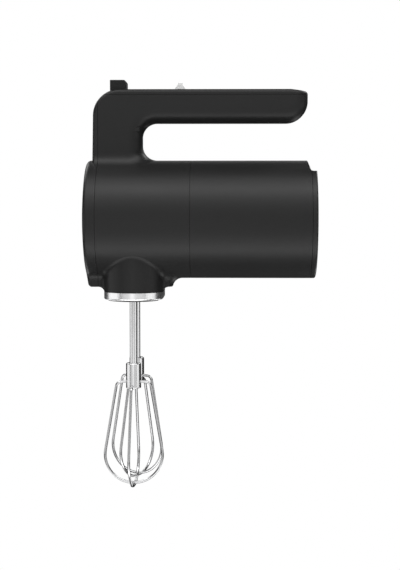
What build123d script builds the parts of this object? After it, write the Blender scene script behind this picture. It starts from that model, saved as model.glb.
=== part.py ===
from build123d import *
from math import cos, pi, radians, sin, sqrt
import os

# Cordless hand mixer.  All lengths in millimetres.
# Pieces are drawn about the crossing of the motor's centre line and the beaters' plane:
# X runs back along the barrel, Z runs up, the left beater is on the -Y side.
# Each piece is then carried to the row's origin, the middle of the handle grip.

# ---- outer body
BARREL_R = 50.3
WALL = 2.5
NOSE_X = -43.6
NOSE_DOME_R = 340.0
NOSE_RIM_R = 3.5
NOSE_REACH = 62.0
COVER_SEAM_X = -30.0
MAIN_SEAM_X = 48.3
REAR_X = 150.0
END_X = 154.7
SEAM_GAP = 0.25

# ---- post and handle
POST_FRONT_X = -35.2
POST_LEAN = 1.2
POST_REAR_X = 7.1
HANDLE_TOP_Z = 110.2
HANDLE_UNDER_Z = 81.7
HANDLE_REAR_X = 147.8
HANDLE_DROP_X = 133.0
HANDLE_DROP = 1.7
HANDLE_HALF_W = 15.5
FRONT_CORNER_R = 22.3
REAR_CORNER_R = 18.6
GAP_CORNER_R = 12.3
GRIP_EDGE_R = 12.0
CROWN_EDGE_R = 3.0
POST_FOOT_R = 12.5
PARTING_Z = 105.4
ROOT_Z = 40.0

# ---- chin and beater boss
CHIN_HALF_W = 18.0
CHIN_Z = -57.0
CHIN_REAR_X = 32.7
CHIN_CORNER_R = 8.0
CHIN_BLEND_R = 8.5
CHIN_ROOT = 20.0
BOSS_HALF_X = 25.0
BOSS_HALF_Y = 39.5
BOSS_Z = -60.9
BOSS_BLEND_R = 5.0
BOSS_ROOT = 40.0
BLEND_START_X = -40.0
BLEND_DEPTH = 7.0
RING_TOP_Z = -61.1
RING_Z = -67.5
RING_WALL = 3.2
PLATE_Z = -68.5
PLATE_TOP_Z = -64.9
FOOT_LENGTH = 3.0

# ---- screws and inner supports of the front housing
SCREW_R = 1.45
HEAD_R = 2.8
HEAD_H = 2.0
SHELF_T = 3.0
WEB_Z = -56.0
WEB_T = 4.0
SOCKET_SCREW_X = 15.0
FRAME_SCREW_X = 18.5
FRAME_SCREW_Y = 30.6
FRAME_Z = -14.0
PILLAR_R = 3.0
PILLAR_Z = -37.2
BOARD_FRONT_X = 0.0
SPEED_BOARD_Z = 96.0

# ---- contact blades between the bay and the battery
BLADE_T = 0.8
BLADE_W = 8.0
BLADE_LENGTH = 14.0
LEAD_R = 1.1
SWITCH_H = 4.9

# ---- beater drive
BEATER_Y = 21.0
SPINDLE_R = 6.0
SPINDLE_NECK_R = 4.5
SPINDLE_BORE_R = 3.18
SPINDLE_Z = -66.0
SPINDLE_TOP_Z = 11.0
WHEEL_TEETH = 26
GEAR_MODULE = 1.25
WHEEL_W = 6.0
WHEEL_PITCH_R = WHEEL_TEETH * GEAR_MODULE / 2
GEAR_ADDENDUM = 1.05
GEAR_DEDENDUM = 1.4
TOOTH_ROOT_HALF = 0.95
TOOTH_TIP_HALF = 0.35
WORM_LEAD = pi * GEAR_MODULE
WORM_HALF_L = 2.75 * WORM_LEAD
WORM_CORE_R = 3.3
WORM_TIP_R = 5.8
THREAD_ROOT_HALF = 0.8
THREAD_TIP_HALF = 0.35
SHAFT_BUSH_R = 5.0
BUSH_R = 8.0
BUSH_NECK_R = 6.5
RUNNING = 0.06
PIN_R = 2.8
PIN_Z = -24.0
PIN_HEAD_Z = 26.0
PIN_HEAD_R = 5.0

# ---- beaters
SHAFT_R = 3.1
SHAFT_TOP_Z = -24.0
COLLAR_R = 6.4
COLLAR_TOP_Z = -121.5
COLLAR_Z = -143.1
WIRE_R = 1.15
WIDE_LOOP_R = 24.8
WIDE_LOOP_Z = -224.4
NARROW_LOOP_Z = -226.9
NARROW_ROOT_Z = -140.6
NARROW_SHOULDER_R = 11.9
SHOULDER_R = 14.2
SHOULDER_DROP = 1.0
WIRE_ROOT_Z = -137.0
WIDEST_Z = -199.6
WIRE_ROOT_X = 3.3
LOOP_FOOT_R = 24.3
LOOP_SHOULDER_R = 4.5
WING_T = 2.0
WING_SLOT = 9.0
RIGHT_BEATER_TURN = -25.0
LOOP_STEP = 84.0

# ---- eject button, speed slider
EJECT_X = -13.15
EJECT_LENGTH = 13.7
EJECT_HALF_W = 11.0
EJECT_TOP_Z = 118.2
EJECT_TRAVEL = 7.0
ROD_R = 3.0
SHELF_Z = 78.0
EJECT_Z = 98.0
YOKE_Z = 26.3
YOKE_T = 3.0
SPRING_WIRE_R = 0.6
KNOB_X = 39.3
KNOB_CREST = 3.2
KNOB_HALF_W = 6.0
SLIDE_GAP = 0.3
CARRIAGE_Z = 104.0
CARRIAGE_T = 3.2
KNOB_LENGTH = 8.2
KNOB_TOP_Z = 116.3
KNOB_TRAVEL = 32.0
STEM_HALF_W = 2.6

# ---- motor and battery
MOTOR_X = 28.0
MOTOR_LENGTH = 38.0
MOTOR_R = 22.0
MOTOR_SHAFT_R = 2.5
PACK_X = 84.0
PACK_R = 46.9
PACK_WALL = 2.0
CELL_R = 9.1
CELL_LENGTH = 65.0
CELL_RING_R = 24.0
CASE_GAP = 0.3

# ---- gearbox, motor and battery details
FRAME_HALF_L = 26.0
FRAME_HALF_W = 34.0
FRAME_PLATE_T = 4.0
FRAME_TOP_Z = 10.0
BUSH_TOP_Z = -50.0
BUSH_LENGTH = 12.0
CAN_WALL = 1.5
BELL_LENGTH = 3.5
ARMATURE_R = 16.0
COMMUTATOR_R = 6.0
FAN_R = 18.0
FAN_X = 70.5
FAN_LENGTH = 6.5
CRADLE_BAR_Y = 38.0
BAY_WALL_X = 79.0
BAY_WALL_T = 2.5
BOARD_Z = 28.0
BOARD_T = 1.6
BLADE_Y = 8.0
CAP_RIM_R = 1.4
CASE_END_X = 145.0
NOTCH_X = 147.0
NOTCH_FLOOR_X = 149.6
NOTCH_Z = 41.2
NOTCH_R = 2.5

# ---- origin of the finished row: middle of the handle grip
GRIP_X = 77.0
GRIP_Z = 96.4


BASE = (Align.CENTER, Align.CENTER, Align.MIN)


def save(piece, node):
    """Carry a finished piece to the grip origin, name it and write it."""
    finished = piece.moved(Location((-GRIP_X, 0, -GRIP_Z)))
    finished.label = node
    export_step(finished, f"parts/{node}.step")


def radius_at(edge, t):
    """Distance of a point on an edge from the barrel's centre line."""
    point = edge.position_at(t)
    return sqrt(point.Y**2 + point.Z**2)


def on_barrel(edge):
    """True for an edge that lies on the barrel's round surface and runs along it."""
    return all(abs(radius_at(edge, t) - BARREL_R) < 0.02 for t in (0.1, 0.5, 0.9))


def on_boss(edge):
    """True for an edge that follows the beater boss's oval outline, above its open end."""
    for t in (0.1, 0.5, 0.9):
        point = edge.position_at(t)
        beyond = max(abs(point.Y) - (BOSS_HALF_Y - BOSS_HALF_X), 0)
        if abs(sqrt(point.X**2 + beyond**2) - BOSS_HALF_X) > 0.02:
            return False
        if point.Z < BOSS_Z - BLEND_DEPTH + 0.5:
            return False
    return abs(edge.tangent_at(0.5).Z) < 0.9


def handle_solid(inset):
    """Post and handle as one bar, its skin moved inwards by inset."""
    half_width = HANDLE_HALF_W - inset
    front = POST_FRONT_X + inset
    top = HANDLE_TOP_Z - inset
    under = HANDLE_UNDER_Z + inset
    rear = HANDLE_REAR_X - inset
    post_rear = POST_REAR_X - inset
    with BuildPart() as bar:
        with BuildSketch(Plane.XZ) as side_view:
            with BuildLine():
                Polyline(
                    (front, ROOT_Z),
                    (front + POST_LEAN, top),
                    (HANDLE_DROP_X, top),
                    (rear, top - HANDLE_DROP),
                    (rear, under),
                    (post_rear, under),
                    (post_rear, ROOT_Z),
                    close=True,
                )
            make_face()
            for corner, corner_r in (
                ((front + POST_LEAN, top), FRONT_CORNER_R - inset),
                ((rear, under), REAR_CORNER_R - inset),
                ((post_rear, under), GAP_CORNER_R + inset),
            ):
                fillet(side_view.vertices().sort_by_distance(corner)[0], corner_r)
        extrude(amount=half_width, both=True)
        grip_edges = bar.edges().filter_by(
            lambda e: abs(abs(e.center().Y) - half_width) < 0.01
            and e.center().X > 0
            and e.center().Z < top - HANDLE_DROP
        )
        fillet(grip_edges, GRIP_EDGE_R - inset)
        if inset == 0:
            crown_edges = bar.edges().filter_by(
                lambda e: abs(e.center().Y) > 1
                and (e.center().Z > PARTING_Z or e.center().X < -20)
                and e.center().Z > ROOT_Z + 1
            )
            crown_edges += bar.edges().filter_by(
                lambda e: e.center().X > rear - 0.5 and e.center().Z > PARTING_Z
            )
            fillet(crown_edges, CROWN_EDGE_R)
    return bar.part


def nose_solid(inset):
    """Domed front of the barrel with the chin's front end, its skin moved inwards by inset."""
    radius = BARREL_R - inset
    half_width = CHIN_HALF_W - inset
    tip = NOSE_X + inset
    dome_r = NOSE_DOME_R - inset
    rim = tip + dome_r - sqrt(dome_r**2 - NOSE_REACH**2)
    seam = COVER_SEAM_X - SEAM_GAP
    with BuildPart() as nose:
        with BuildSketch(Plane.YZ.offset(seam)) as section:
            Circle(radius)
            with Locations((0, CHIN_Z + inset)):
                Rectangle(half_width * 2, CHIN_ROOT, align=(Align.CENTER, Align.MIN))
            if inset == 0:
                crease_z = -sqrt(radius**2 - half_width**2)
                for side in (1, -1):
                    crease = section.vertices().sort_by_distance((seam, side * half_width, crease_z))[0]
                    fillet(crease, CHIN_BLEND_R)
        extrude(amount=tip - seam - 1)
        with BuildSketch(Plane.XZ):
            with BuildLine():
                Line((seam, 0), (tip, 0))
                RadiusArc((tip, 0), (rim, NOSE_REACH), dome_r)
                Line((rim, NOSE_REACH), (seam, NOSE_REACH))
                Line((seam, NOSE_REACH), (seam, 0))
            make_face()
        revolve(axis=Axis.X, mode=Mode.INTERSECT)
        if inset == 0:
            rim_edges = nose.edges().filter_by(
                lambda e: e.center().X < rim + 1 and abs(e.tangent_at(0.5).X) < 0.5
            )
            fillet(rim_edges, NOSE_RIM_R)
    return nose.part


os.makedirs("parts", exist_ok=True)

# ============================================================ outer shape of the body

handle_bar = handle_solid(0)
handle_hollow = handle_solid(WALL)
cover_plane = Plane.YZ.offset(COVER_SEAM_X)

with BuildPart() as body_outer:
    # barrel and chin, begun ahead of the seam and below their undersides to give the blends room
    with BuildSketch(Plane.YZ.offset(BLEND_START_X)):
        Circle(BARREL_R)
    extrude(amount=MAIN_SEAM_X - BLEND_START_X)
    with BuildSketch(Plane.XY.offset(CHIN_Z - BLEND_DEPTH)) as chin_plan:
        with Locations(((BLEND_START_X + CHIN_REAR_X) / 2, 0)):
            Rectangle(CHIN_REAR_X - BLEND_START_X, CHIN_HALF_W * 2)
        fillet(chin_plan.vertices().sort_by(Axis.X)[-2:], CHIN_CORNER_R)
    extrude(amount=CHIN_ROOT + BLEND_DEPTH)
    chin_edges = body_outer.edges().filter_by(
        lambda e: on_barrel(e)
        and e.center().Z < -ROOT_Z
        and BLEND_START_X + 0.1 < e.center().X < MAIN_SEAM_X - 2
    )
    fillet(chin_edges, CHIN_BLEND_R)
    split(bisect_by=Plane.XY.offset(CHIN_Z), keep=Keep.TOP)
    with BuildSketch(Plane.XY.offset(BOSS_Z - BLEND_DEPTH)):
        SlotOverall(BOSS_HALF_Y * 2, BOSS_HALF_X * 2, rotation=90)
    extrude(amount=BOSS_ROOT)
    boss_edges = body_outer.edges().filter_by(on_boss)
    fillet(boss_edges, BOSS_BLEND_R)
    split(bisect_by=Plane.XY.offset(BOSS_Z), keep=Keep.TOP)
    split(bisect_by=cover_plane, keep=Keep.TOP)
    add(split(handle_bar, bisect_by=cover_plane, keep=Keep.TOP, mode=Mode.PRIVATE))
    foot_edges = body_outer.edges().filter_by(
        lambda e: on_barrel(e) and e.center().Z > ROOT_Z and e.center().X < MAIN_SEAM_X - 5
    )
    fillet(foot_edges, POST_FOOT_R)

seam_face = body_outer.faces().sort_by(Axis.X)[0]

# ============================================================ body shells

with BuildPart() as front_housing:
    add(body_outer.part)
    with BuildSketch(cover_plane):
        Circle(BARREL_R - WALL)
    extrude(amount=MAIN_SEAM_X - COVER_SEAM_X, mode=Mode.SUBTRACT)
    add(handle_hollow, mode=Mode.SUBTRACT)
    with BuildSketch(Plane.XY.offset(CHIN_Z + WALL)):
        with Locations(((COVER_SEAM_X + CHIN_REAR_X - CHIN_CORNER_R) / 2, 0)):
            Rectangle(CHIN_REAR_X - CHIN_CORNER_R - COVER_SEAM_X, (CHIN_HALF_W - WALL) * 2)
    extrude(amount=CHIN_ROOT, mode=Mode.SUBTRACT)
    with BuildSketch(Plane.XY.offset(BOSS_Z)):
        SlotOverall((BOSS_HALF_Y - WALL) * 2, (BOSS_HALF_X - WALL) * 2, rotation=90)
    extrude(amount=BOSS_ROOT, mode=Mode.SUBTRACT)
    split(bisect_by=Plane.XY.offset(PARTING_Z), keep=Keep.BOTTOM)
    # shelf in the post that carries the eject button's return spring
    with BuildSketch(Plane.XY.offset(SHELF_Z - SHELF_T)):
        with Locations(((COVER_SEAM_X + POST_REAR_X) / 2 - 0.5, 0)):
            Rectangle(POST_REAR_X - COVER_SEAM_X - 3, (HANDLE_HALF_W - 1) * 2)
    extrude(amount=SHELF_T)
    with Locations((EJECT_X, 0, SHELF_Z)):
        Hole(ROD_R + 0.5, depth=SHELF_T)
    # web across the boss that takes the socket plate's screws
    with Locations((0, 0, WEB_Z)):
        Box((BOSS_HALF_X - 1) * 2, 10, WEB_T, align=(Align.CENTER, Align.CENTER, Align.MIN))
    with Locations((SOCKET_SCREW_X, 0, WEB_Z), (-SOCKET_SCREW_X, 0, WEB_Z)):
        Cylinder(SCREW_R, WEB_T, align=BASE, mode=Mode.SUBTRACT)
    # pillars that the gearbox frame is screwed down on
    with BuildSketch(Plane.XY.offset(PILLAR_Z)):
        with GridLocations(FRAME_SCREW_X * 2, FRAME_SCREW_Y * 2, 2, 2):
            Circle(PILLAR_R)
    extrude(amount=FRAME_Z - PILLAR_Z)
    with BuildSketch(Plane.XY.offset(PILLAR_Z + 6)):
        with GridLocations(FRAME_SCREW_X * 2, FRAME_SCREW_Y * 2, 2, 2):
            Circle(SCREW_R)
    extrude(amount=FRAME_Z - PILLAR_Z, mode=Mode.SUBTRACT)
    # studs on the handle floor that carry the speed board
    with BuildSketch(Plane.XY.offset(HANDLE_UNDER_Z + WALL / 2)):
        with Locations((BOARD_FRONT_X + 22, 0), (BOARD_FRONT_X + 54, 0)):
            Circle(3)
    extrude(amount=SPEED_BOARD_Z - HANDLE_UNDER_Z - WALL / 2)

# the post's foot, carried on across the seam into the front cover
with BuildPart() as cover_foot:
    extrude(seam_face, amount=FOOT_LENGTH, dir=(-1, 0, 0))
    with Locations((COVER_SEAM_X - SEAM_GAP, 0, ROOT_Z)):
        Box(FOOT_LENGTH, BARREL_R * 2, BARREL_R, align=(Align.MAX, Align.CENTER, Align.MIN),
            mode=Mode.INTERSECT)

with BuildPart() as front_cover:
    add(split(handle_bar, bisect_by=Plane.YZ.offset(COVER_SEAM_X - SEAM_GAP), keep=Keep.BOTTOM,
              mode=Mode.PRIVATE))
    add(nose_solid(0))
    add(cover_foot.part)
    # hollow
    with BuildSketch(cover_plane):
        Circle(BARREL_R - WALL)
    extrude(amount=-(FOOT_LENGTH + 1.5), mode=Mode.SUBTRACT)
    add(nose_solid(WALL), mode=Mode.SUBTRACT)
    add(split(handle_hollow, bisect_by=cover_plane, keep=Keep.BOTTOM, mode=Mode.PRIVATE),
        mode=Mode.SUBTRACT)

with BuildPart() as handle_top_cover:
    add(split(body_outer.part, bisect_by=Plane.XY.offset(PARTING_Z + SEAM_GAP), keep=Keep.TOP,
              mode=Mode.PRIVATE))
    add(handle_hollow, mode=Mode.SUBTRACT)
    with BuildSketch(Plane.XY.offset(PARTING_Z)):
        with Locations((EJECT_X, 0)):
            Rectangle(EJECT_LENGTH + 0.8, EJECT_HALF_W * 2 + 0.8)
        with Locations((KNOB_X - KNOB_TRAVEL / 2, 0)):
            SlotOverall(KNOB_TRAVEL + 11, STEM_HALF_W * 2 + 1)
    extrude(amount=HANDLE_TOP_Z - PARTING_Z + 1, mode=Mode.SUBTRACT)
    # ribs that the cover stands on inside the handle
    with Locations((66, 0, PARTING_Z - 3), (100, 0, PARTING_Z - 3), (126, 0, PARTING_Z - 3)):
        Box(2, (HANDLE_HALF_W - WALL) * 2 - 0.6, 6, align=BASE)

# thumb notch across the top of the rear end
with BuildPart() as thumb_notch:
    with BuildSketch(Plane.XZ) as notch_side:
        with BuildLine():
            Polyline(
                (NOTCH_X, BARREL_R + 1),
                (NOTCH_FLOOR_X, NOTCH_Z),
                (END_X + 1, NOTCH_Z),
                (END_X + 1, BARREL_R + 1),
                close=True,
            )
        make_face()
        fillet(notch_side.vertices().sort_by_distance((NOTCH_FLOOR_X, NOTCH_Z))[0], NOTCH_R)
    extrude(amount=BARREL_R, both=True)

with BuildPart() as rear_housing:
    with BuildSketch(Plane.YZ.offset(MAIN_SEAM_X + SEAM_GAP)):
        Circle(BARREL_R)
        Circle(BARREL_R - WALL, mode=Mode.SUBTRACT)
    extrude(amount=REAR_X - MAIN_SEAM_X - SEAM_GAP)
    # spigot that centres it in the front housing
    with BuildSketch(Plane.YZ.offset(MAIN_SEAM_X - 6)):
        Circle(BARREL_R - WALL - 0.2)
        Circle(BARREL_R - WALL * 2, mode=Mode.SUBTRACT)
    extrude(amount=6 + SEAM_GAP)
    with BuildSketch(Plane.YZ.offset(MAIN_SEAM_X + SEAM_GAP)):
        Circle(BARREL_R - 1)
        Circle(BARREL_R - WALL * 2, mode=Mode.SUBTRACT)
    extrude(amount=3)
    # locating notch at the top of the seam
    with Locations((MAIN_SEAM_X + SEAM_GAP, 0, BARREL_R - 0.6)):
        Box(1.6, 5, 1.4, align=(Align.MIN, Align.CENTER, Align.MIN), mode=Mode.SUBTRACT)
    add(thumb_notch.part, mode=Mode.SUBTRACT)

with BuildPart() as beater_ring:
    with BuildSketch(Plane.XY.offset(RING_Z)):
        SlotOverall(BOSS_HALF_Y * 2 + 0.4, BOSS_HALF_X * 2 + 0.4, rotation=90)
    extrude(amount=RING_TOP_Z - RING_Z)
    fillet(beater_ring.faces().sort_by(Axis.Z)[0].edges(), 1.4)
    with BuildSketch(Plane.XY.offset(RING_Z)):
        SlotOverall((BOSS_HALF_Y - RING_WALL) * 2, (BOSS_HALF_X - RING_WALL) * 2, rotation=90)
    extrude(amount=RING_TOP_Z - RING_Z, mode=Mode.SUBTRACT)

with BuildPart() as beater_socket_plate:
    with BuildSketch(Plane.XY.offset(PLATE_Z)):
        SlotOverall((BOSS_HALF_Y - RING_WALL) * 2 - 0.2, (BOSS_HALF_X - RING_WALL) * 2 - 0.2, rotation=90)
    extrude(amount=PLATE_TOP_Z - PLATE_Z)
    fillet(beater_socket_plate.faces().sort_by(Axis.Z)[0].edges(), 0.5)
    with BuildSketch(Plane.XY.offset(PLATE_TOP_Z)):
        with Locations((0, BEATER_Y), (0, -BEATER_Y)):
            Circle(BUSH_R + 2)
        with Locations((SOCKET_SCREW_X, 0), (-SOCKET_SCREW_X, 0)):
            Circle(HEAD_R + 1.2)
        Rectangle(SOCKET_SCREW_X * 2, 3)
        Rectangle(3, BEATER_Y * 2)
    extrude(amount=WEB_Z - PLATE_TOP_Z)
    with BuildSketch(Plane.XY.offset(WEB_Z)):
        with Locations((0, BEATER_Y), (0, -BEATER_Y)):
            Circle(BUSH_R + 2)
    extrude(amount=BUSH_TOP_Z - WEB_Z)
    with BuildSketch(Plane.XY.offset(PLATE_Z)):
        with Locations((0, BEATER_Y), (0, -BEATER_Y)):
            Circle(SPINDLE_R + 1.2)
        with Locations((SOCKET_SCREW_X, 0), (-SOCKET_SCREW_X, 0)):
            Circle(SCREW_R + 0.2)
    extrude(amount=WEB_Z - PLATE_Z, mode=Mode.SUBTRACT)
    with BuildSketch(Plane.XY.offset(BUSH_TOP_Z - BUSH_LENGTH)):
        with Locations((0, BEATER_Y), (0, -BEATER_Y)):
            Circle(BUSH_R)
    extrude(amount=BUSH_LENGTH, mode=Mode.SUBTRACT)
    with BuildSketch(Plane.XY.offset(PLATE_Z)):
        with Locations((SOCKET_SCREW_X, 0), (-SOCKET_SCREW_X, 0)):
            Circle(HEAD_R + 0.2)
    extrude(amount=HEAD_H + 0.4, mode=Mode.SUBTRACT)

with BuildPart() as socket_screws:
    with Locations((SOCKET_SCREW_X, 0, PLATE_Z + 0.4), (-SOCKET_SCREW_X, 0, PLATE_Z + 0.4)):
        Cylinder(HEAD_R, HEAD_H, align=BASE)
        Cylinder(SCREW_R, WEB_Z - PLATE_Z + WEB_T - 1.4, align=BASE)
        Box(0.8, HEAD_R * 1.6, 0.8, align=BASE, mode=Mode.SUBTRACT)

# ============================================================ gearbox

with BuildPart() as gearbox_frame:
    with BuildSketch(Plane.XY.offset(FRAME_Z)):
        Rectangle(FRAME_HALF_L * 2, FRAME_HALF_W * 2)
    extrude(amount=FRAME_PLATE_T)
    with Locations((FRAME_HALF_L - 2, 0, FRAME_Z), (2 - FRAME_HALF_L, 0, FRAME_Z)):
        Box(4, FRAME_HALF_W * 2 - 8, FRAME_TOP_Z - FRAME_Z, align=BASE)
    with BuildSketch(Plane.XY.offset(FRAME_TOP_Z - FRAME_PLATE_T)):
        Rectangle(FRAME_HALF_L * 2, 16)
        with Locations((0, BEATER_Y), (0, -BEATER_Y)):
            Circle(BUSH_NECK_R + 3)
        Rectangle(12, BEATER_Y * 2)
    extrude(amount=FRAME_PLATE_T)
    with BuildSketch(Plane.XY.offset(FRAME_Z)):
        with Locations((0, BEATER_Y), (0, -BEATER_Y)):
            Circle(SPINDLE_R + 0.5)
        with GridLocations(FRAME_SCREW_X * 2, FRAME_SCREW_Y * 2, 2, 2):
            Circle(SCREW_R + 0.2)
    extrude(amount=FRAME_PLATE_T, mode=Mode.SUBTRACT)
    with BuildSketch(Plane.XY.offset(FRAME_TOP_Z - FRAME_PLATE_T)):
        with Locations((0, BEATER_Y), (0, -BEATER_Y)):
            Circle(BUSH_NECK_R)
    extrude(amount=FRAME_PLATE_T, mode=Mode.SUBTRACT)
    with BuildSketch(Plane.YZ.offset(-FRAME_HALF_L)):
        Circle(SHAFT_BUSH_R)
    extrude(amount=FRAME_HALF_L * 2, mode=Mode.SUBTRACT)

with BuildPart() as frame_screws:
    with BuildSketch(Plane.XY.offset(FRAME_Z + FRAME_PLATE_T)):
        with GridLocations(FRAME_SCREW_X * 2, FRAME_SCREW_Y * 2, 2, 2):
            Circle(HEAD_R)
    extrude(amount=HEAD_H)
    with BuildSketch(Plane.XY.offset(FRAME_Z - 10)):
        with GridLocations(FRAME_SCREW_X * 2, FRAME_SCREW_Y * 2, 2, 2):
            Circle(SCREW_R)
    extrude(amount=10 + FRAME_PLATE_T)

with BuildPart() as lower_spindle_bushes:
    with BuildSketch(Plane.XY.offset(BUSH_TOP_Z - BUSH_LENGTH)):
        with Locations((0, BEATER_Y), (0, -BEATER_Y)):
            Circle(BUSH_R)
            Circle(SPINDLE_R + RUNNING, mode=Mode.SUBTRACT)
    extrude(amount=BUSH_LENGTH)

with BuildPart() as upper_spindle_bushes:
    with BuildSketch(Plane.XY.offset(FRAME_TOP_Z - FRAME_PLATE_T)):
        with Locations((0, BEATER_Y), (0, -BEATER_Y)):
            Circle(BUSH_NECK_R)
            Circle(SPINDLE_NECK_R + RUNNING, mode=Mode.SUBTRACT)
    extrude(amount=FRAME_PLATE_T)

with BuildPart() as shaft_bushes:
    for bush_x, bush_l in (
        (-FRAME_HALF_L, 4),
        (FRAME_HALF_L - 4, 4),
        (MOTOR_X, CAN_WALL),
        (MOTOR_X + MOTOR_LENGTH, BELL_LENGTH),
    ):
        with BuildSketch(Plane.YZ.offset(bush_x)):
            Circle(SHAFT_BUSH_R)
            Circle(MOTOR_SHAFT_R + RUNNING, mode=Mode.SUBTRACT)
        extrude(amount=bush_l)

# ============================================================ motor

with BuildPart() as motor_can:
    with BuildSketch(Plane.YZ.offset(MOTOR_X)):
        Circle(MOTOR_R)
    extrude(amount=MOTOR_LENGTH)
    with BuildSketch(Plane.YZ.offset(MOTOR_X + CAN_WALL)):
        Circle(MOTOR_R - CAN_WALL)
    extrude(amount=MOTOR_LENGTH, mode=Mode.SUBTRACT)
    with BuildSketch(Plane.YZ.offset(MOTOR_X)):
        Circle(SHAFT_BUSH_R)
        with PolarLocations(14, 4, start_angle=45):
            Circle(2.5)
    extrude(amount=CAN_WALL, mode=Mode.SUBTRACT)

with BuildPart() as motor_end_bell:
    with BuildSketch(Plane.YZ.offset(MOTOR_X + MOTOR_LENGTH)):
        Circle(MOTOR_R)
        Circle(SHAFT_BUSH_R, mode=Mode.SUBTRACT)
        with PolarLocations(15, 6):
            Circle(2.2, mode=Mode.SUBTRACT)
    extrude(amount=BELL_LENGTH)

with BuildPart() as motor_magnets:
    with BuildSketch(Plane.YZ.offset(MOTOR_X + 6)):
        Circle(MOTOR_R - CAN_WALL)
        Circle(ARMATURE_R + 0.6, mode=Mode.SUBTRACT)
        Rectangle(MOTOR_R * 2, 12, mode=Mode.SUBTRACT)
    extrude(amount=24)

with BuildPart() as motor_brushes:
    with Locations((MOTOR_X + 33.5, COMMUTATOR_R + 0.3, 0)):
        Box(4, 8, 5, align=(Align.CENTER, Align.MIN, Align.CENTER))
    mirror(about=Plane.XZ)

with BuildPart() as brush_holders:
    with Locations((MOTOR_X + 35.2, COMMUTATOR_R + 2, 0)):
        Box(5.6, 8, 8, align=(Align.CENTER, Align.MIN, Align.CENTER))
    mirror(about=Plane.XZ)
    with Locations((MOTOR_X + 33.5, 0, 0)):
        Box(4, 40, 5, mode=Mode.SUBTRACT)

with BuildPart() as motor_shaft:
    with BuildSketch(Plane.YZ.offset(-FRAME_HALF_L - 0.5)):
        Circle(MOTOR_SHAFT_R)
    extrude(amount=FAN_X + FAN_LENGTH + FRAME_HALF_L)

with BuildPart() as worm:
    with BuildSketch(Plane.YZ.offset(-WORM_HALF_L - 4)):
        Circle(WORM_CORE_R)
        Circle(MOTOR_SHAFT_R, mode=Mode.SUBTRACT)
    extrude(amount=WORM_HALF_L * 2 + 8)
    with BuildLine() as thread_line:
        Helix(
            pitch=WORM_LEAD,
            height=WORM_HALF_L * 2,
            radius=WORM_CORE_R,
            center=(-WORM_HALF_L, 0, 0),
            direction=(1, 0, 0),
        )
    with BuildSketch(Plane(origin=thread_line.line @ 0, x_dir=(0, 0, 1), z_dir=thread_line.line % 0)):
        with BuildLine():
            Polyline(
                (-0.4, -THREAD_ROOT_HALF),
                (WORM_TIP_R - WORM_CORE_R, -THREAD_TIP_HALF),
                (WORM_TIP_R - WORM_CORE_R, THREAD_TIP_HALF),
                (-0.4, THREAD_ROOT_HALF),
                close=True,
            )
        make_face()
    sweep(is_frenet=True)
    with BuildSketch(Plane.YZ.offset(-WORM_HALF_L - 5)):
        Circle(MOTOR_SHAFT_R)
    extrude(amount=WORM_HALF_L * 2 + 10, mode=Mode.SUBTRACT)

with BuildPart() as armature:
    with BuildSketch(Plane.YZ.offset(MOTOR_X + 7)):
        Circle(ARMATURE_R)
        Circle(MOTOR_SHAFT_R, mode=Mode.SUBTRACT)
        with PolarLocations(ARMATURE_R - 4, 5):
            Rectangle(7, 4.5, mode=Mode.SUBTRACT)
        with PolarLocations(ARMATURE_R, 5):
            Rectangle(4, 1.6, mode=Mode.SUBTRACT)
    extrude(amount=22)

with BuildPart() as armature_windings:
    with BuildSketch(Plane.YZ.offset(MOTOR_X + 5.5)):
        with PolarLocations(ARMATURE_R - 4, 5):
            Rectangle(6.4, 4)
    extrude(amount=25)
    with BuildSketch(Plane.YZ.offset(MOTOR_X + 5)):
        Circle(ARMATURE_R - 2)
        Circle(COMMUTATOR_R + 1, mode=Mode.SUBTRACT)
    extrude(amount=1.8)

with BuildPart() as commutator:
    with BuildSketch(Plane.YZ.offset(MOTOR_X + 31)):
        Circle(COMMUTATOR_R)
        Circle(MOTOR_SHAFT_R, mode=Mode.SUBTRACT)
        with PolarLocations(COMMUTATOR_R, 5):
            Rectangle(1.2, 0.5, mode=Mode.SUBTRACT)
    extrude(amount=5.5)

with BuildPart() as cooling_fan:
    with BuildSketch(Plane.YZ.offset(FAN_X)):
        Circle(FAN_R)
        Circle(MOTOR_SHAFT_R, mode=Mode.SUBTRACT)
    extrude(amount=1.2)
    with BuildSketch(Plane.YZ.offset(FAN_X)):
        Circle(5)
        Circle(MOTOR_SHAFT_R, mode=Mode.SUBTRACT)
        with PolarLocations(11, 9):
            Rectangle(13, 1.2, rotation=18)
    extrude(amount=FAN_LENGTH - 0.5)

with BuildPart() as motor_cradle:
    for ring_x in (MOTOR_X + 4, MOTOR_X + 32):
        with BuildSketch(Plane.YZ.offset(ring_x)):
            Circle(MOTOR_R + 3)
            with PolarLocations(MOTOR_R + 8, 3, start_angle=30):
                Rectangle(16, 5)
            with Locations((12, MOTOR_R), (-12, MOTOR_R)):
                Rectangle(5, (BOARD_Z - MOTOR_R) * 2)
            Circle(MOTOR_R, mode=Mode.SUBTRACT)
        extrude(amount=4)
    with BuildSketch(Plane.YZ.offset(MOTOR_X)):
        with PolarLocations(CRADLE_BAR_Y, 3, start_angle=30):
            Circle(4)
    extrude(amount=BAY_WALL_X - MOTOR_X)
    with BuildSketch(Plane.YZ.offset(BAY_WALL_X - 12)):
        with PolarLocations(CRADLE_BAR_Y, 3, start_angle=30):
            Circle(SCREW_R)
    extrude(amount=12, mode=Mode.SUBTRACT)

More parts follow.
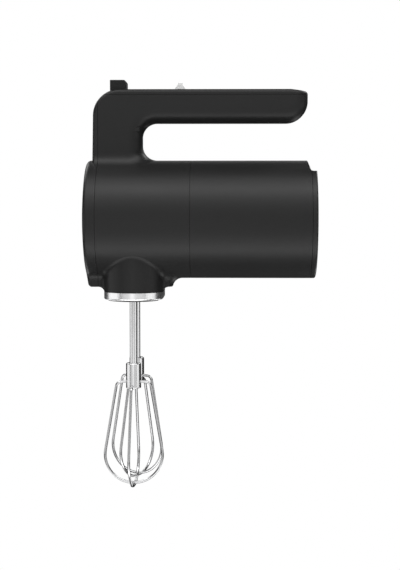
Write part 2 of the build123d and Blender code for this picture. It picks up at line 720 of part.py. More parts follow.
with BuildPart() as battery_bay_wall:
    with BuildSketch(Plane.YZ.offset(BAY_WALL_X)):
        Circle(BARREL_R - WALL)
        with PolarLocations(CRADLE_BAR_Y, 3, start_angle=30):
            Circle(SCREW_R + 0.2, mode=Mode.SUBTRACT)
        with Locations((0, 0), (BLADE_Y, 0), (-BLADE_Y, 0)):
            Rectangle(BLADE_T, BLADE_W, mode=Mode.SUBTRACT)
        with PolarLocations(28, 12, start_angle=15):
            Circle(2, mode=Mode.SUBTRACT)
    extrude(amount=BAY_WALL_T)

with BuildPart() as cradle_screws:
    with BuildSketch(Plane.YZ.offset(BAY_WALL_X + BAY_WALL_T)):
        with PolarLocations(CRADLE_BAR_Y, 3, start_angle=30):
            Circle(HEAD_R)
    extrude(amount=HEAD_H)
    with BuildSketch(Plane.YZ.offset(BAY_WALL_X - 10)):
        with PolarLocations(CRADLE_BAR_Y, 3, start_angle=30):
            Circle(SCREW_R)
    extrude(amount=10 + BAY_WALL_T)

with BuildPart() as bay_contact_blades:
    with BuildSketch(Plane.YZ.offset(BAY_WALL_X - 1)):
        with Locations((0, 0), (BLADE_Y, 0), (-BLADE_Y, 0)):
            Rectangle(BLADE_T, BLADE_W)
    extrude(amount=BLADE_LENGTH)

with BuildPart() as control_board:
    with Locations((MOTOR_X + 20, 0, BOARD_Z)):
        Box(38, 44, BOARD_T, align=BASE)

with BuildPart() as board_capacitors:
    with Locations((MOTOR_X + 8, 12, BOARD_Z + BOARD_T), (MOTOR_X + 8, -2, BOARD_Z + BOARD_T)):
        Cylinder(4, 9, align=BASE)

with BuildPart() as board_chips:
    with Locations((MOTOR_X + 24, 10, BOARD_Z + BOARD_T), (MOTOR_X + 24, -9, BOARD_Z + BOARD_T)):
        Box(9, 8, 2, align=BASE)
    with Locations((MOTOR_X + 35, 0, BOARD_Z + BOARD_T)):
        Box(3, 20, 6, align=BASE)

with BuildPart() as power_leads:
    for lead_y in (BLADE_Y, -BLADE_Y):
        with BuildLine() as lead_line:
            FilletPolyline(
                (BAY_WALL_X, lead_y, FAN_R + 6),
                (BAY_WALL_X - 4, lead_y, FAN_R + 6),
                (BAY_WALL_X - 4, lead_y, BOARD_Z + BOARD_T + 3.5),
                (MOTOR_X + 36.5, lead_y, BOARD_Z + BOARD_T + 3.5),
                radius=2.5,
            )
        with BuildSketch(Plane(origin=lead_line.line @ 0, z_dir=lead_line.line % 0)):
            Circle(LEAD_R)
        sweep(path=lead_line.line)

with BuildPart() as speed_board:
    with Locations((BOARD_FRONT_X + 30, 0, SPEED_BOARD_Z)):
        Box(60, 18, BOARD_T, align=BASE)

with BuildPart() as speed_switch:
    with Locations((BOARD_FRONT_X + 24, 0, SPEED_BOARD_Z + BOARD_T)):
        Box(46, 9, SWITCH_H, align=BASE)
        with Locations((0, 0, SWITCH_H)):
            Box(KNOB_TRAVEL + 6, 2.4, 3, align=(Align.CENTER, Align.CENTER, Align.MAX), mode=Mode.SUBTRACT)

# ============================================================ beater drive and beaters


def spindle_solid(y):
    """Hollow drive spindle on one side, slotted at its foot for the beater's wings."""
    with BuildPart() as spindle:
        with Locations((0, y, SPINDLE_Z)):
            Cylinder(SPINDLE_R, WHEEL_W / 2 - SPINDLE_Z, align=BASE)
            Cylinder(SPINDLE_NECK_R, SPINDLE_TOP_Z - SPINDLE_Z, align=BASE)
        with Locations((0, y, -WHEEL_W / 2 - 2)):
            Cylinder(SPINDLE_R + 2, 2, align=BASE)
        with Locations((0, y, SPINDLE_Z)):
            Cylinder(SPINDLE_BORE_R, SPINDLE_TOP_Z - SPINDLE_Z, align=BASE, mode=Mode.SUBTRACT)
            Box(SPINDLE_R * 2 + 1, WING_T + 1, WING_SLOT, align=BASE, mode=Mode.SUBTRACT)
    return spindle.part


def wheel_solid(y, first_tooth):
    """Worm wheel with straight thin teeth, pressed on its spindle."""
    root_r = WHEEL_PITCH_R - GEAR_DEDENDUM
    tip_r = WHEEL_PITCH_R + GEAR_ADDENDUM
    with BuildSketch() as tooth:
        with BuildLine():
            Polyline(
                (root_r - 0.5, -TOOTH_ROOT_HALF),
                (tip_r, -TOOTH_TIP_HALF),
                (tip_r, TOOTH_TIP_HALF),
                (root_r - 0.5, TOOTH_ROOT_HALF),
                close=True,
            )
        make_face()
    with BuildPart() as wheel:
        with BuildSketch(Plane.XY.offset(-WHEEL_W / 2)):
            with Locations((0, y)):
                Circle(root_r)
                with PolarLocations(0, WHEEL_TEETH, start_angle=first_tooth):
                    add(tooth.sketch)
                Circle(SPINDLE_R, mode=Mode.SUBTRACT)
                with PolarLocations(10.3, 6, start_angle=first_tooth):
                    Circle(2.2, mode=Mode.SUBTRACT)
        extrude(amount=WHEEL_W)
    return wheel.part


def pin_solid(y):
    """Ejector pin: a headed rod that stands on the beater's shaft inside the spindle."""
    with BuildPart() as pin:
        with Locations((0, y, PIN_Z)):
            Cylinder(PIN_R, PIN_HEAD_Z - PIN_Z, align=BASE)
        with Locations((0, y, PIN_HEAD_Z - 3)):
            Cylinder(PIN_HEAD_R, 3, align=BASE)
        fillet(pin.faces().sort_by(Axis.Z)[-1].edges(), 1.2)
    return pin.part


def wire_loop(y, turn, root_z, shoulder_r, bottom_z):
    """One closed wire loop of a beater, turned about the beater's own axis."""
    plane = Plane(
        origin=(0, y, 0),
        x_dir=(cos(radians(turn)), sin(radians(turn)), 0),
        z_dir=(sin(radians(turn)), -cos(radians(turn)), 0),
    )
    # the straight side runs outwards past the widest point and turns in a near half circle
    shoulder_z = root_z - SHOULDER_DROP
    slope = (WIDE_LOOP_R - shoulder_r) / (shoulder_z - WIDEST_Z)
    foot_x = shoulder_r + slope * (shoulder_z - bottom_z)
    with BuildPart() as loop:
        with BuildLine(plane) as wire_line:
            Polyline(
                (-WIRE_ROOT_X, root_z),
                (-shoulder_r, shoulder_z),
                (-foot_x, bottom_z),
                (foot_x, bottom_z),
                (shoulder_r, shoulder_z),
                (WIRE_ROOT_X, root_z),
            )
            fillet(wire_line.vertices().sort_by(Axis.Z)[:2], LOOP_FOOT_R)
            shoulders = [
                v for v in wire_line.vertices()
                if abs(sqrt(v.X**2 + (v.Y - y) ** 2) - shoulder_r) < 0.01 and v.Z > shoulder_z - 1
            ]
            fillet(shoulders, LOOP_SHOULDER_R)
        with BuildSketch(Plane(origin=wire_line.line @ 0, z_dir=wire_line.line % 0)):
            Circle(WIRE_R)
        sweep(path=wire_line.line)
    return loop.part


def beater_pieces(y, turn):
    """Shaft, collar and the two wire loops of one beater, as a dictionary of parts."""
    wide = wire_loop(y, turn, WIRE_ROOT_Z, SHOULDER_R, WIDE_LOOP_Z)
    narrow = wire_loop(y, turn + LOOP_STEP, NARROW_ROOT_Z, NARROW_SHOULDER_R, NARROW_LOOP_Z)
    with BuildPart() as shaft:
        with Locations((0, y, COLLAR_Z - 1)):
            Cylinder(SHAFT_R, SHAFT_TOP_Z - COLLAR_Z + 1, align=BASE)
        chamfer(shaft.faces().sort_by(Axis.Z)[-1].edges(), 0.8)
        fillet(shaft.faces().sort_by(Axis.Z)[0].edges(), 0.8)
        with Locations((0, y, SPINDLE_Z - 2)):
            Box(SPINDLE_R * 2 - 2.6, WING_T, WING_SLOT + 1, align=BASE)
    with BuildPart() as collar:
        with Locations((0, y, COLLAR_Z)):
            Cylinder(COLLAR_R, COLLAR_TOP_Z - COLLAR_Z, align=BASE)
        fillet(collar.faces().sort_by(Axis.Z)[-1].edges(), 0.9)
        fillet(collar.faces().sort_by(Axis.Z)[0].edges(), 0.9)
        with Locations((0, y, COLLAR_Z)):
            Cylinder(SHAFT_R, COLLAR_TOP_Z - COLLAR_Z, align=BASE, mode=Mode.SUBTRACT)
        add(wide, mode=Mode.SUBTRACT)
        add(narrow, mode=Mode.SUBTRACT)
    return {
        "beater_shaft": shaft.part,
        "beater_collar": collar.part,
        "beater_wide_wire": wide,
        "beater_narrow_wire": narrow,
    }


# ============================================================ eject button

with BuildPart() as eject_button:
    with BuildSketch(Plane.XZ) as button_side:
        with Locations((EJECT_X, (EJECT_TOP_Z + EJECT_Z) / 2)):
            Rectangle(EJECT_LENGTH, EJECT_TOP_Z - EJECT_Z)
        rear_top = (EJECT_X + EJECT_LENGTH / 2, EJECT_TOP_Z)
        fillet(button_side.vertices().sort_by_distance(rear_top)[0], 2.4)
    extrude(amount=EJECT_HALF_W, both=True)
    with Locations((EJECT_X, 0, EJECT_Z)):
        Box(EJECT_LENGTH + 3, EJECT_HALF_W * 2 + 2, 3, align=BASE)
    rim_edges = eject_button.edges().filter_by(
        lambda e: e.center().Z > HANDLE_TOP_Z + 4 or abs(e.tangent_at(0.5).Z) > 0.9
    )
    fillet(rim_edges.filter_by(lambda e: e.center().Z > EJECT_Z + 3.1), 0.6)

with BuildPart() as eject_rod:
    with Locations((EJECT_X, 0, YOKE_Z)):
        Cylinder(ROD_R, EJECT_Z - YOKE_Z, align=BASE)
    with BuildSketch(Plane.XY.offset(YOKE_Z)):
        with Locations((EJECT_X / 2, 0)):
            Rectangle(-EJECT_X, 10)
        with Locations((EJECT_X, 0)):
            Circle(6)
        with Locations((0, 0)):
            SlotOverall((BEATER_Y + PIN_HEAD_R) * 2, PIN_HEAD_R * 2 + 1, rotation=90)
    extrude(amount=YOKE_T)

with BuildPart() as eject_spring:
    with BuildLine() as coil_line:
        Helix(
            pitch=(EJECT_Z - SHELF_Z - SPRING_WIRE_R * 2 - 0.4) / 6,
            height=EJECT_Z - SHELF_Z - SPRING_WIRE_R * 2 - 0.4,
            radius=ROD_R + 1.8,
            center=(EJECT_X, 0, SHELF_Z + SPRING_WIRE_R + 0.2),
        )
    with BuildSketch(Plane(origin=coil_line.line @ 0, z_dir=coil_line.line % 0)):
        Circle(SPRING_WIRE_R)
    sweep(path=coil_line.line, is_frenet=True)

# ============================================================ speed slider

with BuildPart() as speed_knob:
    with BuildSketch(Plane.XZ):
        with BuildLine():
            Polyline(
                (KNOB_X - KNOB_LENGTH / 2, HANDLE_TOP_Z + SLIDE_GAP),
                (KNOB_X + KNOB_LENGTH / 2, HANDLE_TOP_Z + SLIDE_GAP),
                (KNOB_X + KNOB_LENGTH / 2, HANDLE_TOP_Z + 1.4),
                (KNOB_X + KNOB_CREST / 2, KNOB_TOP_Z - 1.4),
                (KNOB_X + KNOB_CREST / 2, KNOB_TOP_Z),
                (KNOB_X - KNOB_CREST / 2, KNOB_TOP_Z),
                (KNOB_X - KNOB_CREST / 2, KNOB_TOP_Z - 1.4),
                (KNOB_X - KNOB_LENGTH / 2, HANDLE_TOP_Z + 1.4),
                close=True,
            )
        make_face()
    extrude(amount=KNOB_HALF_W, both=True)
    fillet(speed_knob.faces().sort_by(Axis.Z)[-1].edges(), 0.5)

with BuildPart() as slider_carriage:
    with Locations((KNOB_X, 0, CARRIAGE_Z)):
        Box(14, 16, CARRIAGE_T, align=BASE)
        Box(6, STEM_HALF_W * 2, HANDLE_TOP_Z + SLIDE_GAP - CARRIAGE_Z, align=BASE)
    with Locations((KNOB_X, 0, CARRIAGE_Z)):
        Box(4, 1.6, 2.4, align=(Align.CENTER, Align.CENTER, Align.MAX))

# ============================================================ battery

with BuildPart() as battery_case:
    with BuildSketch(Plane.YZ.offset(PACK_X)):
        Circle(PACK_R)
    extrude(amount=CASE_END_X - PACK_X)
    with BuildSketch(Plane.YZ.offset(PACK_X + PACK_WALL)):
        Circle(PACK_R - PACK_WALL)
    extrude(amount=REAR_X, mode=Mode.SUBTRACT)
    with BuildSketch(Plane.YZ.offset(PACK_X)):
        with Locations((0, 0), (BLADE_Y, 0), (-BLADE_Y, 0)):
            Rectangle(BLADE_T + 1, BLADE_W + 1)
    extrude(amount=PACK_WALL, mode=Mode.SUBTRACT)
    # ribs that hold the cells apart
    for rib_x in (PACK_X + 14, PACK_X + 50):
        with BuildSketch(Plane.YZ.offset(rib_x)):
            Circle(PACK_R - PACK_WALL / 2)
            with PolarLocations(CELL_RING_R, 3, start_angle=30):
                Circle(CELL_R, mode=Mode.SUBTRACT)
            Circle(CELL_RING_R - CELL_R - 3, mode=Mode.SUBTRACT)
        extrude(amount=3)

with BuildPart() as battery_cap:
    with BuildSketch(Plane.YZ.offset(REAR_X + CASE_GAP)):
        Circle(BARREL_R)
    extrude(amount=END_X - REAR_X - CASE_GAP)
    fillet(battery_cap.faces().sort_by(Axis.X)[-1].edges(), CAP_RIM_R)
    # plug that closes the case, with a spigot inside it
    with BuildSketch(Plane.YZ.offset(CASE_END_X)):
        Circle(PACK_R)
    extrude(amount=REAR_X + CASE_GAP - CASE_END_X)
    with BuildSketch(Plane.YZ.offset(CASE_END_X - 5)):
        Circle(PACK_R - PACK_WALL)
        Circle(PACK_R - PACK_WALL * 2, mode=Mode.SUBTRACT)
    extrude(amount=5)
    with BuildSketch(Plane.YZ.offset(CASE_END_X)):
        Circle(CELL_RING_R + CELL_R + 3)
    extrude(amount=REAR_X + CASE_GAP - CASE_END_X + 1.7, mode=Mode.SUBTRACT)
    add(thumb_notch.part, mode=Mode.SUBTRACT)

with BuildPart() as battery_cells:
    with BuildSketch(Plane.YZ.offset(PACK_X + PACK_WALL + 0.4)):
        with PolarLocations(CELL_RING_R, 3, start_angle=30):
            Circle(CELL_R)
    extrude(amount=CELL_LENGTH)

with BuildPart() as pack_contact_clips:
    for clip_y in (0, BLADE_Y, -BLADE_Y):
        for side in (1, -1):
            with Locations((PACK_X + PACK_WALL, clip_y + side * (BLADE_T / 2 + 0.3 + 0.25), 0)):
                Box(10, 0.5, BLADE_W, align=(Align.MIN, Align.CENTER, Align.CENTER))

# ============================================================ write every piece

left = beater_pieces(-BEATER_Y, 0)
right = beater_pieces(BEATER_Y, RIGHT_BEATER_TURN)
for piece_name, piece in left.items():
    save(piece, f"left_{piece_name}")
for piece_name, piece in right.items():
    save(piece, f"right_{piece_name}")
save(spindle_solid(-BEATER_Y), "left_spindle")
save(spindle_solid(BEATER_Y), "right_spindle")
save(wheel_solid(-BEATER_Y, 90), "left_worm_wheel")
save(wheel_solid(BEATER_Y, -90 + 180 / WHEEL_TEETH), "right_worm_wheel")
save(pin_solid(-BEATER_Y), "left_ejector_pin")
save(pin_solid(BEATER_Y), "right_ejector_pin")
for builder, node in (
    (front_housing, "front_housing"),
    (front_cover, "front_cover"),
    (handle_top_cover, "handle_top_cover"),
    (rear_housing, "rear_housing"),
    (beater_ring, "beater_ring"),
    (beater_socket_plate, "beater_socket_plate"),
    (socket_screws, "socket_screws"),
    (gearbox_frame, "gearbox_frame"),
    (frame_screws, "frame_screws"),
    (lower_spindle_bushes, "lower_spindle_bushes"),
    (upper_spindle_bushes, "upper_spindle_bushes"),
    (shaft_bushes, "shaft_bushes"),
    (motor_can, "motor_can"),
    (motor_end_bell, "motor_end_bell"),
    (motor_magnets, "motor_magnets"),
    (motor_brushes, "motor_brushes"),
    (brush_holders, "brush_holders"),
    (motor_cradle, "motor_cradle"),
    (cradle_screws, "cradle_screws"),
    (battery_bay_wall, "battery_bay_wall"),
    (bay_contact_blades, "bay_contact_blades"),
    (control_board, "control_board"),
    (board_capacitors, "board_capacitors"),
    (board_chips, "board_chips"),
    (power_leads, "power_leads"),
    (speed_board, "speed_board"),
    (speed_switch, "speed_switch"),
    (motor_shaft, "motor_shaft"),
    (worm, "worm"),
    (armature, "armature"),
    (armature_windings, "armature_windings"),
    (commutator, "commutator"),
    (cooling_fan, "cooling_fan"),
    (eject_button, "eject_button"),
    (eject_rod, "eject_rod"),
    (eject_spring, "eject_spring"),
    (speed_knob, "speed_knob"),
    (slider_carriage, "slider_carriage"),
    (battery_case, "battery_case"),
    (battery_cap, "battery_cap"),
    (battery_cells, "battery_cells"),
    (pack_contact_clips, "pack_contact_clips"),
):
    save(builder.part, node)
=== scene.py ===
from math import cos, radians, sin

import bpy
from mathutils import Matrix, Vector


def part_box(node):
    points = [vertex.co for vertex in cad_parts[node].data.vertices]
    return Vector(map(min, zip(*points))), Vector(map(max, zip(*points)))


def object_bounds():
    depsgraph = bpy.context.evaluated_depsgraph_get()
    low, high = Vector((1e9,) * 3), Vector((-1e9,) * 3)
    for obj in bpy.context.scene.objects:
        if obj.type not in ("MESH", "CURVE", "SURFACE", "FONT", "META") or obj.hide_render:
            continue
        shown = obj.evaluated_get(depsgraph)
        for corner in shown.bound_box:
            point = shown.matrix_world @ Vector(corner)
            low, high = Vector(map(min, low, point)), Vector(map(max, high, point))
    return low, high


# Hand mixer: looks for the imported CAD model.  Metres, in the row's frame.

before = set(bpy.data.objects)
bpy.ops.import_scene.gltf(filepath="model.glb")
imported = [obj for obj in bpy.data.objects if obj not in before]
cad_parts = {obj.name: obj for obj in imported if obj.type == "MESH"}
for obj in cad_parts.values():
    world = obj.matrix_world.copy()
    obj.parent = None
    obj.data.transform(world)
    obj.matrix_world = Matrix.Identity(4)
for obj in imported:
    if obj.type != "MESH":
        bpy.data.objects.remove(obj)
cad_low, cad_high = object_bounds()

# ------------------------------------------------------------------ places read from the frame

barrel_low, barrel_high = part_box("rear_housing")
BARREL_Z = (barrel_low.z + barrel_high.z) / 2
BEATER_X = (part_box("left_beater_collar")[0].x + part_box("left_beater_collar")[1].x) / 2

# ------------------------------------------------------------------ camera

CAMERA_DISTANCE = 1.180
CAMERA_SIDE = 0.081
CAMERA_HEIGHT = 0.0234
AIM_X = 0.0561
AIM_Z = -0.0565
SENSOR_MM = 36.0
LENS_MM = 86.7

# ------------------------------------------------------------------ node helpers

# cycles per metre of the slow drift of gloss over plastic and metal, and how far it goes
PLASTIC_DRIFT = 22.0
METAL_DRIFT = 30.0
PLASTIC_GLOSS_STEP = 0.03
METAL_GLOSS_RANGE = (0.8, 1.25)


def new_material(name):
    """An empty node material with a Principled shader, and the shader itself."""
    material = bpy.data.materials.new(name)
    material.use_nodes = True
    nodes = material.node_tree.nodes
    nodes.clear()
    output = nodes.new("ShaderNodeOutputMaterial")
    shader = nodes.new("ShaderNodeBsdfPrincipled")
    material.node_tree.links.new(shader.outputs["BSDF"], output.inputs["Surface"])
    return material, shader


def noise(material, scale, detail=3.0, roughness=0.5, stretch=(1, 1, 1)):
    """A noise texture in object space, in cycles per metre."""
    nodes = material.node_tree.nodes
    links = material.node_tree.links
    place = nodes.new("ShaderNodeTexCoord")
    mapping = nodes.new("ShaderNodeMapping")
    mapping.inputs["Scale"].default_value = stretch
    texture = nodes.new("ShaderNodeTexNoise")
    texture.inputs["Scale"].default_value = scale
    texture.inputs["Detail"].default_value = detail
    texture.inputs["Roughness"].default_value = roughness
    links.new(place.outputs["Object"], mapping.inputs["Vector"])
    links.new(mapping.outputs["Vector"], texture.inputs["Vector"])
    return texture.outputs["Fac"]


def spread(material, source, low, high, start=0.3, end=0.7):
    """Maps a 0 to 1 value onto low to high."""
    node = material.node_tree.nodes.new("ShaderNodeMapRange")
    node.inputs["From Min"].default_value = start
    node.inputs["From Max"].default_value = end
    node.inputs["To Min"].default_value = low
    node.inputs["To Max"].default_value = high
    material.node_tree.links.new(source, node.inputs["Value"])
    return node.outputs["Result"]


def tint(material, source, dark, light, start=0.3, end=0.7):
    """Maps a 0 to 1 value onto a blend of two colours."""
    node = material.node_tree.nodes.new("ShaderNodeValToRGB")
    node.color_ramp.elements[0].position = start
    node.color_ramp.elements[0].color = (*dark, 1)
    node.color_ramp.elements[1].position = end
    node.color_ramp.elements[1].color = (*light, 1)
    material.node_tree.links.new(source, node.inputs["Fac"])
    return node.outputs["Color"]


def bump(material, shader, source, height, strength=1.0):
    """Raises the surface by a value, height in metres."""
    node = material.node_tree.nodes.new("ShaderNodeBump")
    node.inputs["Strength"].default_value = strength
    node.inputs["Distance"].default_value = height
    material.node_tree.links.new(source, node.inputs["Height"])
    material.node_tree.links.new(node.outputs["Normal"], shader.inputs["Normal"])


def moulded_plastic(
    name, dark, light, rough, grain=2600.0, height=0.00002, metal=0.0, specular=0.5
):
    """Moulded or lacquered plastic: fine grain in the surface and a slight drift of tone and gloss."""
    material, shader = new_material(name)
    links = material.node_tree.links
    fine = noise(material, grain, 2.0)
    broad = noise(material, PLASTIC_DRIFT, 3.0)
    links.new(tint(material, fine, dark, light), shader.inputs["Base Color"])
    gloss = spread(material, broad, rough - PLASTIC_GLOSS_STEP, rough + PLASTIC_GLOSS_STEP)
    links.new(gloss, shader.inputs["Roughness"])
    shader.inputs["Metallic"].default_value = metal
    shader.inputs["Specular IOR Level"].default_value = specular
    bump(material, shader, fine, height)
    return material


def plain_metal(name, dark, light, rough, grain=900.0, stretch=(1, 1, 1), height=0.00001):
    """Bare or plated metal with a fine drawn or turned grain."""
    material, shader = new_material(name)
    links = material.node_tree.links
    fine = noise(material, grain, 4.0, 0.6, stretch)
    broad = noise(material, METAL_DRIFT, 2.0)
    links.new(tint(material, fine, dark, light), shader.inputs["Base Color"])
    least, most = METAL_GLOSS_RANGE
    links.new(spread(material, broad, rough * least, rough * most), shader.inputs["Roughness"])
    shader.inputs["Metallic"].default_value = 1.0
    bump(material, shader, fine, height, 0.5)
    return material


def shade(nodes, material):
    """Gives CAD nodes one material."""
    for node in nodes:
        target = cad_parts[node]
        target.data.materials.clear()
        target.data.materials.append(material)


# ------------------------------------------------------------------ materials

GRAPHITE_DARK = (0.010,) * 3
GRAPHITE_LIGHT = (0.014,) * 3
graphite = moulded_plastic("graphite", GRAPHITE_DARK, GRAPHITE_LIGHT, 0.36, specular=0.2)
shade(
    ["front_housing", "front_cover", "handle_top_cover", "rear_housing", "battery_cap"],
    graphite,
)
shade(["beater_socket_plate"], moulded_plastic("socket_black", (0.012,) * 3, (0.018,) * 3, 0.5))
button_black = moulded_plastic("button_black", (0.008,) * 3, (0.012,) * 3, 0.42, specular=0.15)
shade(["eject_button"], button_black)
shade(["speed_knob"], moulded_plastic("knob_silver", (0.68,) * 3, (0.76,) * 3, 0.38, metal=0.4))
shade(["slider_carriage"], moulded_plastic("acetal_black", (0.02,) * 3, (0.03,) * 3, 0.5))
shade(["eject_rod"], moulded_plastic("acetal_white", (0.70, 0.70, 0.66), (0.76, 0.76, 0.72), 0.5))
case_black = moulded_plastic("case_black", (0.02,) * 3, (0.03,) * 3, 0.55)
shade(["battery_case", "battery_bay_wall"], case_black)
shade(["beater_ring"], plain_metal("chrome", (0.86,) * 3, (0.91, 0.91, 0.92), 0.30, 60.0))

# grain drawn out along Z
ALONG = (1, 1, 0.05)
drawn_steel = plain_metal("stainless", (0.66,) * 3, (0.74, 0.74, 0.75), 0.14, 1500.0, ALONG)
wire_steel = plain_metal("wire_steel", (0.46,) * 3, (0.56, 0.56, 0.57), 0.16, 1500.0, ALONG)
for side in ("left", "right"):
    shade([f"{side}_beater_shaft", f"{side}_beater_collar"], drawn_steel)
    shade([f"{side}_beater_wide_wire", f"{side}_beater_narrow_wire"], wire_steel)

turned_steel = plain_metal("turned_steel", (0.45,) * 3, (0.60,) * 3, 0.30, 1200.0, (0.1, 1, 1))
shade(["left_spindle", "right_spindle", "left_ejector_pin", "right_ejector_pin"], turned_steel)
shade(["motor_shaft", "worm", "eject_spring", "motor_can"], turned_steel)
shade(["socket_screws", "frame_screws", "cradle_screws"], turned_steel)
acetal = moulded_plastic("acetal_cream", (0.70, 0.66, 0.56), (0.76, 0.72, 0.62), 0.5)
shade(["left_worm_wheel", "right_worm_wheel", "cooling_fan"], acetal)
nylon = moulded_plastic("glass_nylon", (0.10,) * 3, (0.15,) * 3, 0.6, 1800.0)
shade(["gearbox_frame", "motor_cradle", "motor_end_bell"], nylon)
bronze = plain_metal("bronze", (0.45, 0.28, 0.12), (0.58, 0.38, 0.18), 0.4)
shade(["lower_spindle_bushes", "upper_spindle_bushes", "shaft_bushes", "brush_holders"], bronze)
tinned = plain_metal("tinned_brass", (0.55, 0.50, 0.38), (0.68, 0.62, 0.48), 0.3)
shade(["bay_contact_blades", "pack_contact_clips"], tinned)
copper = plain_metal("copper", (0.50, 0.20, 0.10), (0.68, 0.30, 0.16), 0.35)
shade(["armature_windings", "commutator"], copper)
ferrite = moulded_plastic("ferrite", (0.03,) * 3, (0.06,) * 3, 0.7)
shade(["motor_magnets", "armature", "motor_brushes"], ferrite)
laminate = moulded_plastic("board_green", (0.01, 0.08, 0.03), (0.02, 0.12, 0.05), 0.35)
shade(["control_board", "speed_board"], laminate)
shade(["board_capacitors"], plain_metal("capacitor", (0.45,) * 3, (0.6,) * 3, 0.3))
shade(["board_chips", "speed_switch"], moulded_plastic("chip", (0.012,) * 3, (0.02,) * 3, 0.5))
shade(["power_leads"], moulded_plastic("lead", (0.35, 0.02, 0.02), (0.45, 0.03, 0.03), 0.45))
shade(["battery_cells"], moulded_plastic("cell_wrap", (0.03, 0.12, 0.30), (0.04, 0.15, 0.36), 0.3))

# ------------------------------------------------------------------ floor, light, camera

LIGHT_AIM_X = 0.06
FLOOR_DROP = 1.15
FLOOR_SIZE = 12.0
FLOOR_DARK = (0.20,) * 3
FLOOR_LIGHT = (0.22,) * 3
# strength of the world: as the mixer sees it, and as the camera sees it
ROOM_LIGHT = 0.028
BACKDROP_LIGHT = 1.0
# softboxes stand on a ball round this point
LIGHT_DISTANCE = 1.2
STRIP_LENGTH = 2.4
STRIP_DEPTH = 0.42
BOX_HEIGHT = 0.5
# softboxes over and under the mixer: elevation in degrees, power in watts
LIGHT_ARC = (
    (-80, 0.9), (-60, 10.0), (-40, 5.0), (-20, 2.4), (0, 1.8),
    (20, 2.4), (40, 5.0), (60, 14.0), (80, 6.0), (160, 1.6),
)
# softboxes round the sides, for the bright metal, and behind: azimuth and elevation in degrees,
# width in metres, power in watts
SOFT_BOXES = (
    (-82, -6, 1.2, 2.2), (-5, -6, 0.3, 0.3), (72, -6, 1.0, 1.8),
    (-132, 40, 0.8, 4.0), (132, 40, 0.8, 4.0), (-132, -42, 0.8, 2.2), (132, -42, 0.8, 2.2),
)

centre = Vector((BEATER_X + LIGHT_AIM_X, 0, BARREL_Z))


def add_floor():
    """A wide pale floor below the mixer and the lights, plain white to the camera."""
    bpy.ops.mesh.primitive_plane_add(size=FLOOR_SIZE, location=(0, 0, cad_low.z - FLOOR_DROP))
    floor = bpy.context.object
    floor.name = "studio_floor"
    material, shader = new_material("floor_pale")
    nodes = material.node_tree.nodes
    links = material.node_tree.links
    shader.inputs["Roughness"].default_value = 0.9
    grain = noise(material, 40.0)
    colour = tint(material, grain, FLOOR_DARK, FLOOR_LIGHT)
    links.new(colour, shader.inputs["Base Color"])
    path = nodes.new("ShaderNodeLightPath")
    glow = nodes.new("ShaderNodeEmission")
    glow.inputs["Color"].default_value = (1, 1, 1, 1)
    glow.inputs["Strength"].default_value = BACKDROP_LIGHT
    mix = nodes.new("ShaderNodeMixShader")
    links.new(path.outputs["Is Camera Ray"], mix.inputs["Fac"])
    links.new(shader.outputs["BSDF"], mix.inputs[1])
    links.new(glow.outputs["Emission"], mix.inputs[2])
    output = next(node for node in nodes if node.type == "OUTPUT_MATERIAL")
    links.new(mix.outputs["Shader"], output.inputs["Surface"])
    floor.data.materials.append(material)


def add_area(name, position, target, width, height, power):
    """A soft rectangular light, its wide side along X."""
    data = bpy.data.lights.new(name, "AREA")
    data.shape = "RECTANGLE"
    data.size = width
    data.size_y = height
    data.energy = power
    lamp = bpy.data.objects.new(name, data)
    lamp.location = position
    lamp.rotation_euler = (Vector(target) - Vector(position)).to_track_quat("-Z", "Y").to_euler()
    lamp.visible_camera = False
    bpy.context.scene.collection.objects.link(lamp)


def add_strip(elevation, power):
    """A long softbox parallel to the barrel, elevation in degrees up from the camera's side."""
    angle = radians(elevation)
    place = centre + LIGHT_DISTANCE * Vector((0, -cos(angle), sin(angle)))
    add_area(f"strip_{elevation}", place, centre, STRIP_LENGTH, STRIP_DEPTH, power)


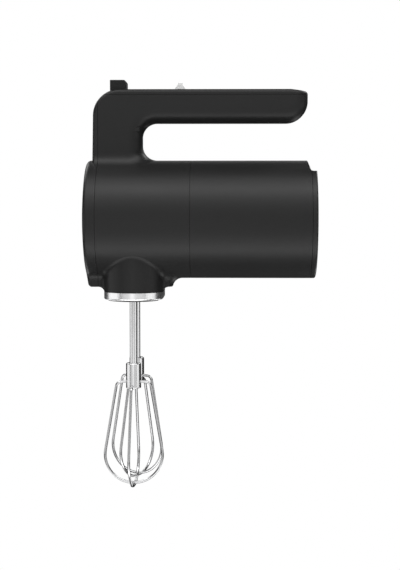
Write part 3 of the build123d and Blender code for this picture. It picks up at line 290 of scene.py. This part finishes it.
def add_soft_box(azimuth, elevation, width, power):
    """A softbox facing the mixer, azimuth in degrees from the camera's side towards +X."""
    turn = radians(azimuth)
    rise = radians(elevation)
    direction = Vector((cos(rise) * sin(turn), -cos(rise) * cos(turn), sin(rise)))
    place = centre + LIGHT_DISTANCE * direction
    add_area(f"box_{azimuth}_{elevation}", place, centre, width, BOX_HEIGHT, power)


def add_world():
    """White to the camera, a dim grey to everything else."""
    world = bpy.data.worlds.new("studio")
    bpy.context.scene.world = world
    world.use_nodes = True
    nodes = world.node_tree.nodes
    links = world.node_tree.links
    nodes.clear()
    path = nodes.new("ShaderNodeLightPath")
    room = nodes.new("ShaderNodeBackground")
    room.inputs["Color"].default_value = (1, 1, 1, 1)
    room.inputs["Strength"].default_value = ROOM_LIGHT
    backdrop = nodes.new("ShaderNodeBackground")
    backdrop.inputs["Color"].default_value = (1, 1, 1, 1)
    backdrop.inputs["Strength"].default_value = BACKDROP_LIGHT
    mix = nodes.new("ShaderNodeMixShader")
    output = nodes.new("ShaderNodeOutputWorld")
    links.new(path.outputs["Is Camera Ray"], mix.inputs["Fac"])
    links.new(room.outputs["Background"], mix.inputs[1])
    links.new(backdrop.outputs["Background"], mix.inputs[2])
    links.new(mix.outputs["Shader"], output.inputs["Surface"])


def add_camera():
    """Looks along +Y, a little from above."""
    data = bpy.data.cameras.new("camera")
    data.sensor_width = SENSOR_MM
    data.lens = LENS_MM
    camera = bpy.data.objects.new("camera", data)
    eye = Vector((BEATER_X + CAMERA_SIDE, -CAMERA_DISTANCE, BARREL_Z + CAMERA_HEIGHT))
    aim = Vector((BEATER_X + AIM_X, 0, BARREL_Z + AIM_Z))
    camera.location = eye
    camera.rotation_euler = (aim - eye).to_track_quat("-Z", "Y").to_euler()
    bpy.context.scene.collection.objects.link(camera)
    bpy.context.scene.camera = camera


add_world()
add_floor()
for elevation, power in LIGHT_ARC:
    add_strip(elevation, power)
for azimuth, elevation, width, power in SOFT_BOXES:
    add_soft_box(azimuth, elevation, width, power)
add_camera()
bpy.context.scene.view_settings.view_transform = "Standard"
